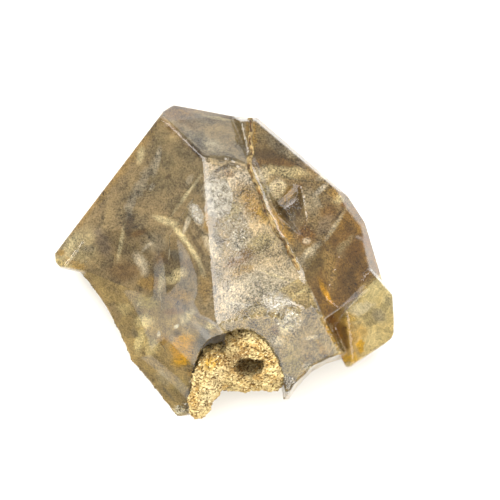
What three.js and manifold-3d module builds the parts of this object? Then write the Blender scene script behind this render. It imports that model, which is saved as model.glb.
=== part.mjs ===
// A Herkimer-type smoky quartz specimen lying on its broadest back face: three crystals that grew into one
// another, broken along the lower edge, with a lump of porous dolostone left in the pocket between two prongs.
// Millimetres. +Z is up, away from the surface that it lies on. +Y runs towards the crystals' unbroken tips,
// +X towards the smaller crystals. The origin is on the resting surface, under the middle of the outline.
import * as THREE from "three";
import { mergeVertices } from "three/addons/utils/BufferGeometryUtils.js";
import Module from "manifold-3d";

const wasm = await Module();
wasm.setup();

// ---- driving dimensions -------------------------------------------------------------------------------------
const BLOCK = 160; // edge of the blank that every crystal is cleaved from
const SEAM = { width: 0.9, depth: 1.7 }; // the open seam between the two large crystals
const FIT_GAP = 0.3; // clearance between the dolostone and the quartz round it
const TERRACE = 0.35; // height of a growth terrace above its face
const WAIST = 12; // level at which the two smaller crystals are widest

// Corners of the main crystal, shared by the faces that meet there.
const MAIN = {
  shoulder: [-12.2, 30.0, 17.0], // upper end of the long left edge
  tip: [-34.6, 0.6, 13.0], // its lower end, the blunt left tip
  crown: [-4.4, 20.2, 23.2], // where the left, upper and middle faces meet
  ridge: [-1.8, -13.2, 32.6], // lower end of the ridge between the left and middle faces
  seam: [15.4, -3.4, 26.6], // where the middle face reaches the seam
  brow: [-11.6, 27.4, 17.8], // outer end of the edge between the left and upper faces
};
const SEAM_FOOT = [15.4, -3.4]; // where the seam turns into the main crystal's free right-hand wall

// ---- solids -------------------------------------------------------------------------------------------------
const UP = new THREE.Vector3(0, 0, 1);
const vec = (p) => new THREE.Vector3(...p);

// A closed geometry as a solid.
function solidOf(geometry) {
  const bare = geometry.clone();
  bare.deleteAttribute("normal");
  bare.deleteAttribute("uv");
  const merged = mergeVertices(bare, 1e-4);
  return new wasm.Manifold(
    new wasm.Mesh({
      numProp: 3,
      vertProperties: new Float32Array(merged.attributes.position.array),
      triVerts: new Uint32Array(merged.index.array),
    }),
  );
}

// A solid as a geometry with flat faces.
function geometryOf(solid) {
  const mesh = solid.getMesh();
  const geometry = new THREE.BufferGeometry();
  geometry.setAttribute("position", new THREE.BufferAttribute(mesh.vertProperties, mesh.numProp));
  geometry.setIndex(new THREE.BufferAttribute(mesh.triVerts, 1));
  return geometry;
}

// The plane through three points, facing away from the point inside.
function planeThrough(points, inside) {
  const plane = new THREE.Plane().setFromCoplanarPoints(...points.map(vec));
  return plane.distanceToPoint(vec(inside)) > 0 ? plane.negate() : plane;
}

// A plane that faces a bearing in XY (degrees from +X). Its dip runs from level (0) to upright (90) and under.
function planeFacing(bearing, dip, point) {
  const [b, d] = [THREE.MathUtils.degToRad(bearing), THREE.MathUtils.degToRad(dip)];
  const normal = new THREE.Vector3(Math.sin(d) * Math.cos(b), Math.sin(d) * Math.sin(b), Math.cos(d));
  return new THREE.Plane().setFromNormalAndCoplanarPoint(normal, vec(point));
}

// The two planes of a crystal's side that meet at its waist: one dips outwards above it, one inwards below it.
function sidePlanes(bearing, [x, y], above = 80, below = 66) {
  const point = [x, y, WAIST];
  return [planeFacing(bearing, above, point), planeFacing(bearing, 180 - below, point)];
}

// The point of a plane over a point of XY.
function onPlane({ normal, constant }, [x, y]) {
  return new THREE.Vector3(x, y, -(normal.x * x + normal.y * y + constant) / normal.z);
}

// Everything in front of a plane, as a block turned onto it.
function beyond(plane) {
  const block = new THREE.BoxGeometry(2 * BLOCK, 2 * BLOCK, BLOCK).translate(0, 0, BLOCK / 2);
  const foot = plane.normal.clone().multiplyScalar(-plane.constant);
  block.applyQuaternion(new THREE.Quaternion().setFromUnitVectors(UP, plane.normal));
  return solidOf(block.translate(foot.x, foot.y, foot.z));
}

// A crystal: the blank with everything beyond each of its faces cleaved away.
function crystal(planes) {
  const blank = solidOf(new THREE.BoxGeometry(BLOCK, BLOCK, BLOCK));
  return planes.reduce((solid, plane) => solid.subtract(beyond(plane)), blank);
}

// Smooth, repeatable unevenness in about -1..1 at a point, with bumps of the given width.
function unevenness(p, width) {
  const [x, y, z] = [p.x / width, p.y / width, p.z / width];
  const wave = Math.sin(3.1 * x + 1.7 * y + 0.4) * Math.sin(2.3 * y - 2.9 * z + 1.9);
  return 0.6 * wave + 0.4 * Math.sin(4.9 * z + 3.7 * x - 2.2 * y + 0.8);
}

// An ellipsoid with its first radius along a direction. Its skin carries rings round the point where a blow fell,
// as a shell-like break does, and lumps, as weathered rock does.
function bulb({ centre, radii, along = [1, 0, 0], detail, ring = 0, rings = 0, lump = 0, width = 1 }) {
  const geometry = new THREE.IcosahedronGeometry(1, detail);
  const place = geometry.attributes.position;
  const turn = new THREE.Quaternion().setFromUnitVectors(new THREE.Vector3(1, 0, 0), vec(along).normalize());
  const blow = new THREE.Vector3(0.6, 0, 0.8);
  for (let i = 0; i < place.count; i++) {
    const unit = new THREE.Vector3().fromBufferAttribute(place, i);
    const wave = ring * Math.sin(rings * Math.acos(THREE.MathUtils.clamp(unit.dot(blow), -1, 1)));
    const skin = unit.clone().multiply(vec(radii)).applyQuaternion(turn).add(vec(centre));
    skin.addScaledVector(unit.applyQuaternion(turn), wave + lump * unevenness(skin, width));
    place.setXYZ(i, skin.x, skin.y, skin.z);
  }
  return solidOf(geometry);
}

// A growth terrace: a low flat-topped layer on a face, inside an outline given in XY, with sloping sides.
function terrace(plane, outline) {
  const middle = [0, 1].map((axis) => outline.reduce((sum, corner) => sum + corner[axis], 0) / outline.length);
  const rim = outline.map(([x, y]) => planeThrough(
    [onPlane(plane, [x, y]).toArray(), ...nextOf(outline, [x, y], plane, middle)],
    onPlane(plane, middle).addScaledVector(plane.normal, -1).toArray(),
  ));
  const top = plane.clone().translate(plane.normal.clone().multiplyScalar(TERRACE));
  const bottom = plane.clone().negate().translate(plane.normal.clone().multiplyScalar(-1));
  return crystal([top, bottom, ...rim]);
}

// The next corner of an outline on its face, and a third point that makes the side between them lean inwards.
function nextOf(outline, corner, plane, middle) {
  const index = outline.findIndex(([x, y]) => x === corner[0] && y === corner[1]);
  const next = onPlane(plane, outline[(index + 1) % outline.length]);
  const inward = onPlane(plane, middle).sub(next).normalize();
  const lean = next.clone().addScaledVector(plane.normal, TERRACE).addScaledVector(inward, TERRACE);
  return [next.toArray(), lean.toArray()];
}

// Height of a solid's topmost skin over a point of XY, or null where there is none.
function heightOver(solid, [x, y]) {
  const mesh = new THREE.Mesh(geometryOf(solid), new THREE.MeshBasicMaterial({ side: THREE.DoubleSide }));
  const down = new THREE.Raycaster(new THREE.Vector3(x, y, BLOCK), UP.clone().negate());
  const hits = down.intersectObject(mesh);
  return hits.length ? hits[0].point.z : null;
}

// ---- the main crystal ---------------------------------------------------------------------------------------
const mainHeart = [-4, 4, 14];
const mainFaces = {
  left: planeThrough([MAIN.shoulder, MAIN.tip, MAIN.ridge], mainHeart),
  middle: planeThrough([MAIN.crown, MAIN.ridge, MAIN.seam], mainHeart),
  upper: planeThrough([MAIN.crown, MAIN.brow, [4.6, 18.8, 21.9]], mainHeart),
  lower: planeThrough([MAIN.ridge, [20.4, -9.8, 27.2], [12.0, -28.2, 20.0]], mainHeart),
  upperRim: planeThrough([MAIN.brow, [1.0, 28.7, 12.4], [-10.2, 30.4, 12.4]], mainHeart),
  leftWall: planeFacing(142.8, 88, [-12.4, 29.9, 12]),
  upperWall: planeFacing(79.6, 87, [-5.0, 29.8, 10]),
  shoulder: planeFacing(118, 86, [-11.4, 30.1, 14]),
  tip: planeFacing(186, 88, [-34.3, 0, 12]),
  seam: planeFacing(24.4, 84, [...SEAM_FOOT, 26.6]),
  foot: planeFacing(278.9, 82, [-8.6, -31.5, 9.5]),
  rest: planeFacing(0, 180, [0, 0, 0]),
  underLeft: planeThrough([[-12.4, 29.9, 8.5], [-34.4, 1.0, 6.5], [-17.2, 9.6, 0]], mainHeart),
  underUpper: planeThrough([[-10.4, 30.8, 7.5], [3.4, 28.4, 6.5], [-3.0, 23.6, 0]], mainHeart),
  underTip: planeThrough([[-34.0, -1.9, 14.1], [-9.6, -31.6, 8.4], [-14.9, -8.5, 0]], mainHeart),
  underFoot: planeThrough([[-9.6, -31.6, 8.8], [12.2, -28.4, 9.6], [2.0, -17.0, 0]], mainHeart),
};

// The breaks: three shell-like scars that run into one another down the lower left, one beside the right prong,
// and bruises along the edges.
const LOWER_LEFT = [0.64, -0.768, 0]; // direction of the lower-left break
const scar = (ellipsoid) => bulb({ ...ellipsoid, along: LOWER_LEFT });
const bruise = (ellipsoid) => bulb({ ...ellipsoid, detail: 5, lump: 0.32, width: 1.1 });
const mainBreaks = [
  scar({ centre: [-53.5, -26.8, 83.4], radii: [38, 80, 80], detail: 18, ring: 0.22, rings: 170 }),
  scar({ centre: [-53.7, -30.4, 57.6], radii: [49, 60, 60], detail: 16, ring: 0.12, rings: 120 }),
  scar({ centre: [-33.8, -58.1, 57.6], radii: [87, 60, 60], detail: 20, ring: 0.2, rings: 150 }),
  bulb({ centre: [26.1, -34.0, 20], radii: [15.2, 15.2, 40], detail: 8, ring: 0.2, rings: 34 }),
  bulb({ centre: [8.2, -28.8, 12], radii: [2.6, 3.4, 14], detail: 3 }),
  bruise({ centre: [0.4, 19.9, 23.4], radii: [5.0, 1.3, 1.5], along: [1, -0.16, -0.1] }),
  bruise({ centre: [12.2, -10.8, 31.0], radii: [4.6, 2.6, 2.6], along: [1, 0.1, -0.2] }),
  bruise({ centre: [-3.6, 9.0, 28.0], radii: [4.4, 1.6, 1.9], along: [0.05, -1, 0.3] }),
];
const pocket = { centre: [2.3, -30, 18], radii: [9.7, 18, 26], detail: 9, lump: 0.3, width: 5 };
const block = crystal(Object.values(mainFaces));
// The left tip that the breaks spared: a stub of the old left face with its own small broken facets.
const nose = crystal([
  mainFaces.left,
  mainFaces.leftWall,
  mainFaces.tip,
  mainFaces.underLeft,
  planeFacing(222, 84, [-33.8, -1.2, 13.0]),
  planeFacing(-97, 80, [-32.0, -2.1, 12.5]),
  planeFacing(-45, 42, [-30.2, 1.2, 15.0]),
  planeFacing(-115, 130, [-32.0, -2.1, 11.4]),
  planeFacing(0, 180, [-30.0, 0, 6.5]),
  planeFacing(20, 90, [-25.5, 3.0, 12.0]),
]);
const main = [...mainBreaks, bulb(pocket)].reduce((solid, cut) => solid.subtract(cut), block).add(nose);

// ---- the side crystal ---------------------------------------------------------------------------------------
const sideHeart = [18, 6, 14];
const sideFaces = {
  seam: planeFacing(205, 72, [...SEAM_FOOT, 27.0]),
  seamBend: planeFacing(198, 74, [9.7, 7.0, 24.5]),
  seamTop: planeFacing(184, 70, [4.7, 18.8, 21.0]),
  broad: planeThrough([[7.6, 27.2, 15.4], [24.6, 11.4, 14.8], [11.4, 1.6, 26.5]], sideHeart),
  dark: planeThrough([[15.4, -3.4, 27.0], [24.6, 11.4, 14.8], [20.6, -13.4, 26.4]], sideHeart),
  step: planeFacing(-43.5, 76, [25.6, -8.1, 20]),
  under: planeFacing(150, 174, [18, 6, 2.4]),
  underStep: planeFacing(-60, 118, [24.0, -12.0, 10.0]),
};
const sideWalls = [
  ...sidePlanes(88, [5.0, 28.35]),
  ...sidePlanes(54, [7.6, 27.4]),
  ...sidePlanes(49, [15.8, 20.0], 78),
  ...sidePlanes(33, [26.15, 9.8], 66),
  ...sidePlanes(16.7, [29.4, 2.0], 68),
];

// A small crystal once grew against the broad face. Its print is a pit with flat walls.
const print = crystal([
  planeFacing(135, 150, [9.4, 15.2, 20.4]),
  planeFacing(135, 130, [11.6, 12.7, 18.4]),
  planeFacing(300, 140, [12.9, 11.6, 16.9]),
  planeFacing(5, 104, [15.4, 10.0, 19.0]),
  planeFacing(85, 104, [11.5, 15.3, 19.5]),
  planeFacing(228, 104, [10.6, 9.0, 21.5]),
  planeFacing(0, 0, [12, 10, 34]),
]);
const LEDGE = [[23.0, 2.2], [19.6, -8.0], [22.6, -10.2], [30.0, -3.0], [29.0, 3.4], [25.8, 4.4]];
const side = crystal([...Object.values(sideFaces), ...sideWalls]).add(
  terrace(sideFaces.dark, LEDGE).intersect(crystal([sideFaces.step, ...sideWalls])),
);

// ---- the low crystal ----------------------------------------------------------------------------------------
const lowHeart = [27, -13, 12];
const lowFaces = {
  broad: planeThrough([[24.2, -12.0, 18.8], [33.6, -9.0, 13.4], [25.2, -21.4, 15.6]], lowHeart),
  inner: planeThrough([[24.0, -11.6, 18.9], [25.4, -20.0, 16.2], [20.4, -15.0, 15.4]], lowHeart),
  under: planeFacing(-40, 168, [27, -13, 4.6]),
  hiddenLeft: planeFacing(160, 90, [16.0, -12.0, 12]),
  hiddenTop: planeFacing(136.5, 90, [24.2, -6.7, 12]),
};
const lowWalls = [
  ...sidePlanes(38, [32.2, -5.7], 84),
  ...sidePlanes(2, [33.5, -10.0], 84),
  ...sidePlanes(-30, [33.9, -14.9], 84),
  ...sidePlanes(-55, [29.3, -18.8], 84),
  ...sidePlanes(-96, [24.2, -21.9], 84),
  ...sidePlanes(208, [23.1, -20.4], 86, 86),
];
const low = crystal([...Object.values(lowFaces), ...lowWalls]);

// ---- the quartz, grown together -----------------------------------------------------------------------------
// The seam opens as a jagged V-shaped groove from the top of the outline down to the foot of the seam.
const SEAM_LINE = [
  [5.2, 29.4], [5.0, 26.4], [4.6, 23.4], [5.1, 21.4], [4.4, 18.6], [5.6, 15.8], [6.2, 14.4], [7.2, 11.8],
  [7.7, 9.6], [9.2, 7.4], [9.6, 5.8], [11.6, 3.6], [13.0, 1.0], [13.9, -0.6], SEAM_FOOT,
];
function groove(solid) {
  const stations = SEAM_LINE.map((at) => new THREE.Vector3(...at, heightOver(solid, at) ?? 12));
  return stations.slice(1).reduce((cut, end, index) => {
    const start = stations[index];
    const run = end.clone().sub(start);
    const wedge = new THREE.CylinderGeometry(SEAM.depth, SEAM.depth, run.length() + SEAM.width / 2, 3);
    wedge.scale((SEAM.width / SEAM.depth) * 0.58, 1, 1).rotateX(Math.PI / 2);
    const facing = new THREE.Matrix4().lookAt(end, start, UP);
    const middle = start.clone().add(end).multiplyScalar(0.5);
    wedge.applyMatrix4(facing).translate(...middle.toArray());
    const piece = solidOf(wedge);
    return cut ? cut.add(piece) : piece;
  }, null);
}
const grown = main.add(side.subtract(print)).add(low);
const quartz = grown.subtract(groove(grown));

// ---- the dolostone ------------------------------------------------------------------------------------------
// Lumps heaped in the pocket, held FIT_GAP off its wall, with a crater and a scatter of solution pits.
const heap = [
  { centre: [5.0, -17.6, 20.0], radii: [4.6, 4.6, 8.2] },
  { centre: [8.6, -20.4, 18.0], radii: [3.6, 5.4, 8.0] },
  { centre: [3.4, -21.8, 13.0], radii: [7.8, 4.2, 6.8] },
  { centre: [-1.6, -21.0, 15.0], radii: [3.4, 3.4, 6.4] },
  { centre: [-3.9, -24.0, 13.0], radii: [2.8, 4.4, 5.4] },
  { centre: [-5.7, -27.9, 11.6], radii: [2.0, 3.6, 3.9] },
];
const CRATER = { centre: [4.8, -21.3, 21.0], radii: [3.9, 2.7, 9.0], detail: 4, lump: 0.4, width: 1.7 };
const PITS = { count: 34, smallest: 0.45, largest: 1.0, golden: 2.39996, spread: [8.6, 8.2], middle: [2.6, -22] };
const seat = crystal([planeFacing(0, 180, [0, 0, 6.0])]); // flat underside where it sits in the pocket
const inset = pocket.radii.map((radius) => radius - FIT_GAP - 0.1);
const lumps = heap
  .map((lump) => bulb({ ...lump, detail: 4, lump: 0.55, width: 2.2 }))
  .reduce((all, lump) => all.add(lump))
  .intersect(bulb({ ...pocket, radii: inset }))
  .intersect(seat)
  .subtract(bulb(CRATER));

function pitted(solid) {
  for (let i = 0; i < PITS.count; i++) {
    const [reach, angle] = [Math.sqrt((i + 0.5) / PITS.count), PITS.golden * i];
    const at = [
      PITS.middle[0] + PITS.spread[0] * reach * Math.cos(angle),
      PITS.middle[1] + PITS.spread[1] * reach * Math.sin(angle),
    ];
    const height = heightOver(solid, at);
    if (height === null) continue;
    const radius = PITS.smallest + (PITS.largest - PITS.smallest) * Math.abs(Math.sin(7.3 * i));
    const pit = new THREE.IcosahedronGeometry(radius, 1).scale(1.2, 0.9, 1.3);
    solid = solid.subtract(solidOf(pit.translate(...at, height + 0.15 * radius)));
  }
  return solid;
}

// ---- assembly -----------------------------------------------------------------------------------------------
function named(name, solid, colour, roughness) {
  const material = new THREE.MeshStandardMaterial({ color: colour, roughness, metalness: 0 });
  const mesh = new THREE.Mesh(geometryOf(solid), material);
  mesh.name = name;
  return mesh;
}

const specimen = new THREE.Group();
specimen.add(named("quartz_crystals", quartz, 0xa8977a, 0.12));
specimen.add(named("dolostone_matrix", pitted(lumps), 0xcfa96a, 0.95));
const middle = new THREE.Box3().setFromObject(specimen).getCenter(new THREE.Vector3());
specimen.children.forEach((mesh) => mesh.geometry.translate(-middle.x, -middle.y, 0));

export default specimen;
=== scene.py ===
"""Herkimer diamond specimen: smoky, iron-stained quartz crystals grown together, with dolostone in their pocket.

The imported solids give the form. This script dresses them: the quartz as clear crystal with iron-stained faces,
the cracks, veils and flakes inside it as thin pieces of their own, and the dolostone as porous rock.
All lengths in the classes are millimetres, in the part's own frame.
"""

from __future__ import annotations

import logging
import math
import random
from dataclasses import dataclass, replace
from enum import Enum
from typing import Any

import bpy
from mathutils import Euler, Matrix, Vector

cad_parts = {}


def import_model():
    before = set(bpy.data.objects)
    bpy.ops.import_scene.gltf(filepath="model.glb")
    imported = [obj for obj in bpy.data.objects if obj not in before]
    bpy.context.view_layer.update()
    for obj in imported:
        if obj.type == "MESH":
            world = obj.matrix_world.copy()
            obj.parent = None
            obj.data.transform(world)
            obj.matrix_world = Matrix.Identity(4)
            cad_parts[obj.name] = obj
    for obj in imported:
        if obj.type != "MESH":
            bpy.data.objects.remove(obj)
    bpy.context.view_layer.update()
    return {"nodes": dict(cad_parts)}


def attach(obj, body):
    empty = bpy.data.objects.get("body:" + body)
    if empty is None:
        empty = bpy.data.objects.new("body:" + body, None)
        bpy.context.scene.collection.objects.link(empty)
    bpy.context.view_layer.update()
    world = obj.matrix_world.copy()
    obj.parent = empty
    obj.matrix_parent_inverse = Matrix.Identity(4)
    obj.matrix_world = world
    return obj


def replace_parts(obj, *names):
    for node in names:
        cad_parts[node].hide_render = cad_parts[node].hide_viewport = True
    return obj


Piece = bpy.types.Object
Tree = bpy.types.NodeTree
Node = bpy.types.Node
Socket = bpy.types.NodeSocket

LOG = logging.getLogger("herkimer")
MM = 0.001
BODY = "root"
QUARTZ_NODE = "quartz_crystals"
ROCK_NODE = "dolostone_matrix"


class Slot(Enum):
    """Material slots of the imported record."""

    QUARTZ = "quartz"
    ROCK = "dolostone"


def linear(colour: str) -> tuple[float, float, float, float]:
    """Turns an sRGB hex colour into linear values.

    Args:
        colour: Six hex digits after a hash.

    Returns:
        Linear red, green and blue, and an alpha of 1.
    """
    channels = [int(colour[i : i + 2], 16) / 255 for i in (1, 3, 5)]
    low_end, offset, power = 0.04045, 0.055, 2.4
    values = [c / 12.92 if c <= low_end else ((c + offset) / (1 + offset)) ** power for c in channels]
    return (values[0], values[1], values[2], 1.0)


def metres(point: tuple[float, ...]) -> Vector:
    """Gives a point or size in millimetres as a vector in metres."""
    return Vector(point) * MM


# --- Meshes ---


def leave_edit() -> None:
    """Goes back to object mode with nothing selected."""
    if bpy.context.object and bpy.context.object.mode != "OBJECT":
        bpy.ops.object.mode_set(mode="OBJECT")
    bpy.ops.object.select_all(action="DESELECT")


def only(obj: Piece) -> Piece:
    """Makes obj the only selected object and the active one, and returns it."""
    leave_edit()
    obj.select_set(True)
    bpy.context.view_layer.objects.active = obj
    return obj


def copied(node: Piece, name: str) -> Piece:
    """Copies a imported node's mesh into a free object with its doubled vertices merged.

    Args:
        node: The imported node.
        name: The new piece's name.

    Returns:
        The copy, at the origin, with no material.
    """
    obj = bpy.data.objects.new(name, node.data.copy())
    bpy.context.scene.collection.objects.link(obj)
    obj.data.name = name
    obj.data.materials.clear()
    only(obj)
    bpy.ops.object.mode_set(mode="EDIT")
    bpy.ops.mesh.select_all(action="SELECT")
    bpy.ops.mesh.customdata_custom_splitnormals_clear()
    bpy.ops.mesh.remove_doubles(threshold=0.002 * MM)
    leave_edit()
    return obj


def applied(obj: Piece, kind: str, **settings: Any) -> Piece:
    """Adds a modifier with its settings and applies it.

    Args:
        obj: The piece.
        kind: The modifier's type.
        settings: Its properties by name.

    Returns:
        The piece.
    """
    only(obj)
    modifier = obj.modifiers.new(kind.lower(), kind)
    for name, value in settings.items():
        setattr(modifier, name, value)
    bpy.ops.object.modifier_apply(modifier=modifier.name)
    return obj


def smooth_by_angle(obj: Piece, degrees: float) -> Piece:
    """Shades obj smooth across edges flatter than an angle, and returns it."""
    only(obj)
    bpy.ops.object.shade_smooth_by_angle(angle=math.radians(degrees))
    return obj


# --- Patterns and materials ---


def add(tree: Tree, kind: str, inputs: dict | None = None, **settings: Any) -> Node:
    """Adds a node with its settings and links.

    Args:
        tree: The node tree.
        kind: The node's type.
        inputs: A value, or an output socket to link, for each input by name or place.
        settings: The node's own properties.

    Returns:
        The node.
    """
    made = tree.nodes.new(kind)
    for name, value in settings.items():
        setattr(made, name, value)
    for key, value in (inputs or {}).items():
        if isinstance(value, Socket):
            tree.links.new(value, made.inputs[key])
        else:
            made.inputs[key].default_value = value
    return made


def maths(tree: Tree, operation: str, *values: Any) -> Socket:
    """Does a sum on values or outputs, and returns its output."""
    return add(tree, "ShaderNodeMath", dict(enumerate(values)), operation=operation).outputs[0]


def vectors(tree: Tree, operation: str, *values: Any) -> Socket:
    """Does a sum on vectors, and returns its output."""
    return add(tree, "ShaderNodeVectorMath", dict(enumerate(values)), operation=operation).outputs[0]


def blend(tree: Tree, share: Any, under: Any, over: Any) -> Socket:
    """Lays a share of one colour over another, and returns the colour's output."""
    return add(tree, "ShaderNodeMix", {0: share, 6: under, 7: over}, data_type="RGBA").outputs[2]


def coated(tree: Tree, **inputs: Any) -> Node:
    """Ends a material with a principled surface.

    Args:
        tree: The material's node tree.
        inputs: The surface's inputs, with _ for each space in their names.

    Returns:
        The material's output node.
    """
    shader = add(tree, "ShaderNodeBsdfPrincipled", {name.replace("_", " "): value for name, value in inputs.items()})
    return add(tree, "ShaderNodeOutputMaterial", {"Surface": shader.outputs[0]})


def swayed(
    tree: Tree, where: Socket, grain: float, reach: float, detail: float, rough: float = 0.5
) -> Socket:
    """Sways coordinates both ways, so that the borders drawn with them come out ragged.

    Args:
        tree: The material's node tree.
        where: The coordinates.
        grain: How far apart the swings are, in millimetres.
        reach: How wide they are from side to side, in millimetres.
        detail: How many finer sizes they hold.
        rough: How strong the finer ones are.

    Returns:
        The swayed coordinates.
    """
    scale = 1 / (grain * MM)
    noise = add(tree, "ShaderNodeTexNoise", {"Vector": where, "Scale": scale, "Detail": detail, "Roughness": rough})
    centred = vectors(tree, "SUBTRACT", noise.outputs["Color"], (0.5, 0.5, 0.5))
    return vectors(tree, "MULTIPLY_ADD", centred, (reach * MM,) * 3, where)


@dataclass(frozen=True)
class Oval:
    """An oval place on the specimen, seen from above, with a soft border.

    x and y are its middle, long and short its half lengths, turn the bearing of its long axis in degrees,
    and soft the share of its radius over which it fades.
    """

    x: float
    y: float
    long: float
    short: float
    turn: float = 0.0
    soft: float = 0.5

    def mask(self, tree: Tree, where: Socket) -> Socket:
        """Gives the oval as a mask in a material.

        Args:
            tree: The material's node tree.
            where: Object coordinates.

        Returns:
            An output that is 1 inside and 0 outside.
        """
        own = add(
            tree,
            "ShaderNodeMapping",
            {
                "Vector": where,
                "Location": metres((self.x, self.y, 0)),
                "Rotation": Euler((0, 0, math.radians(self.turn))),
                "Scale": Vector((self.long * MM, self.short * MM, 1.0)),
            },
            vector_type="TEXTURE",
        )
        reach = add(tree, "ShaderNodeVectorMath", {0: own.outputs[0]}, operation="LENGTH")
        fade = add(
            tree,
            "ShaderNodeMapRange",
            {
                "Value": reach.outputs["Value"],
                "From Min": 1 - self.soft,
                "From Max": 1 + self.soft,
                "To Min": 1.0,
                "To Max": 0.0,
            },
            interpolation_type="SMOOTHSTEP",
        )
        return fade.outputs[0]

    def outline(self, corners: int = 14) -> tuple[tuple[float, float], ...]:
        """Gives the oval's border as corners that run anticlockwise seen from above."""
        turn = math.radians(self.turn)
        points = []
        for i in range(corners):
            angle = 2 * math.pi * i / corners
            along, across = self.long * math.cos(angle), self.short * math.sin(angle)
            points.append(
                (
                    self.x + along * math.cos(turn) - across * math.sin(turn),
                    self.y + along * math.sin(turn) + across * math.cos(turn),
                )
            )
        return tuple(points)


@dataclass(frozen=True)
class Face:
    """A natural face of the crystals: a point on it, and how its height changes with x and y."""

    x: float
    y: float
    z: float
    slope_x: float
    slope_y: float

    @property
    def normal(self) -> Vector:
        """The face's outward direction."""
        return Vector((-self.slope_x, -self.slope_y, 1)).normalized()

    def under(self, x: float, y: float, depth: float) -> Vector:
        """Gives the point in metres at a depth under the face, seen from above at x and y."""
        height = self.z + self.slope_x * (x - self.x) + self.slope_y * (y - self.y)
        return (Vector((x, y, height)) - self.normal * depth) * MM


LEFT = Face(-11.78, 30.42, 17.0, 0.496, -0.2417)
MIDDLE = Face(-3.98, 20.62, 23.2, -0.18, -0.2955)
NOISE_SPREAD = 0.42  # how wide a noise texture's values lie about 0.5


def new_material(name: str) -> tuple[bpy.types.Material, Tree, Node]:
    """Starts a material.

    Args:
        name: Its name.

    Returns:
        The material, its empty node tree but for texture coordinates, and the coordinates' node.
    """
    material = bpy.data.materials.new(name)
    material.use_nodes = True
    tree = material.node_tree
    tree.nodes.clear()
    return material, tree, add(tree, "ShaderNodeTexCoord")


def mottle(
    tree: Tree,
    where: Socket,
    ground: Any,
    spots: Any,
    grain: float,
    share: float,
    blur: float = 0.06,
    detail: float = 4.0,
) -> tuple[Socket, Socket]:
    """Lays irregular spots of one colour over another.

    Args:
        tree: The material's node tree.
        where: The coordinates, in metres.
        ground: The colour or output under the spots.
        spots: The colour or output of the spots.
        grain: The spots' spacing in millimetres.
        share: How much of the surface they cover, from 0 to 1.
        blur: How soft their borders are.
        detail: How many finer sizes the pattern holds.

    Returns:
        The colour output and the spots' mask.
    """
    scale = 1 / (grain * MM)
    cloud = add(tree, "ShaderNodeTexNoise", {"Vector": where, "Scale": scale, "Detail": detail, "Roughness": 0.6})
    edge = 0.5 + (0.5 - share) * NOISE_SPREAD
    mask = add(
        tree,
        "ShaderNodeMapRange",
        {"Value": cloud.outputs["Fac"], "From Min": edge - blur, "From Max": edge + blur},
        interpolation_type="SMOOTHSTEP",
    ).outputs[0]
    return blend(tree, mask, ground, spots), mask


class Film(Enum):
    """What lies on a healed crack, as the colour that it gives."""

    WHITE = "#EAE5DA"
    MILK = "#CFC6B2"
    CREAM = "#D6CAA2"
    ROSE = "#D8CCB8"
    GREY = "#A89E8A"
    SLATE = "#6E675A"
    MAUVE = "#80705F"
    TAN = "#A8946C"
    KHAKI = "#9F9262"
    OLIVE = "#786A4A"
    BROWN = "#76572E"
    UMBER = "#4C3C26"
    RUST = "#8A5E24"
    HONEY = "#B18C3E"
    GOLD = "#CCA000"


@dataclass(frozen=True)
class Stain:
    """A blot: where it lies, what it is, how well it hides the ground, and how gritty it is from 0 to 1."""

    place: Oval
    film: Film
    strength: float = 1.0
    grit: float = 0.0


def blots(*rows: tuple[Any, ...]) -> tuple[Stain, ...]:
    """Turns rows into stains: the numbers of the oval, the film, and its strength and grit if they aren't 1 and 0."""
    stains = []
    for row in rows:
        at = next(i for i, value in enumerate(row) if isinstance(value, Film))
        stains.append(Stain(Oval(*row[:at]), *row[at:]))
    return tuple(stains)


@dataclass(frozen=True)
class ClearQuartz:
    """Smoky rock crystal with natural faces: glassy and clear, tinted brown by depth, with iron-stained skin."""

    name: str = "rock_crystal_natural_faces"
    ior: float = 1.544
    depth_colour: str = "#DFCF9E"
    depth_density: float = 40.0
    tint: str = "#F2EDE0"
    polished: float = 0.05
    stains: tuple[Stain, ...] = ()

    def made(self) -> bpy.types.Material:
        """Builds the material and returns it."""
        material, tree, place = new_material(self.name)
        where = place.outputs["Object"]
        warped = swayed(tree, where, 1000 / 350, 4.0, 3.0)
        colour: Any = linear(self.tint)
        for stain in self.stains:
            share = maths(tree, "MULTIPLY", stain.place.mask(tree, warped), stain.strength)
            colour = blend(tree, share, colour, linear(stain.film.value))
        end = coated(tree, Base_Color=colour, Roughness=self.polished, IOR=self.ior, Transmission_Weight=1.0)
        tinted = {"Color": linear(self.depth_colour), "Density": self.depth_density}
        tree.links.new(add(tree, "ShaderNodeVolumeAbsorption", tinted).outputs[0], end.inputs["Volume"])
        return material


def splinters(
    tree: Tree, where: Socket, size: float
) -> tuple[Socket, Socket]:
    """Breaks a wall into flat splinters with crooked borders.

    Args:
        tree: The material's node tree.
        where: The pattern's coordinates.
        size: How wide a splinter is, in millimetres.

    Returns:
        A value from 0 to 1 that is the same all over each splinter, and one that falls from 1 at the borders to 0.
    """
    ragged = add(tree, "ShaderNodeTexNoise", {"Vector": where, "Scale": 1.2 / (size * MM), "Detail": 3.0})
    sway = size * 0.5 * MM
    bent = vectors(tree, "MULTIPLY_ADD", ragged.outputs["Color"], (sway, sway, sway), where)
    scale = 1 / (size * MM)
    cell = add(tree, "ShaderNodeTexVoronoi", {"Vector": bent, "Scale": scale}, feature="F1")
    border = add(tree, "ShaderNodeTexVoronoi", {"Vector": bent, "Scale": scale}, feature="DISTANCE_TO_EDGE")
    value = add(tree, "ShaderNodeMapRange", {"Value": cell.outputs["Color"], "From Min": 0.2, "From Max": 0.8})
    near = add(
        tree,
        "ShaderNodeMapRange",
        {"Value": border.outputs["Distance"], "From Min": 0.0, "From Max": 0.05, "To Min": 1.0, "To Max": 0.0},
    )
    return value.outputs[0], near.outputs[0]


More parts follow.
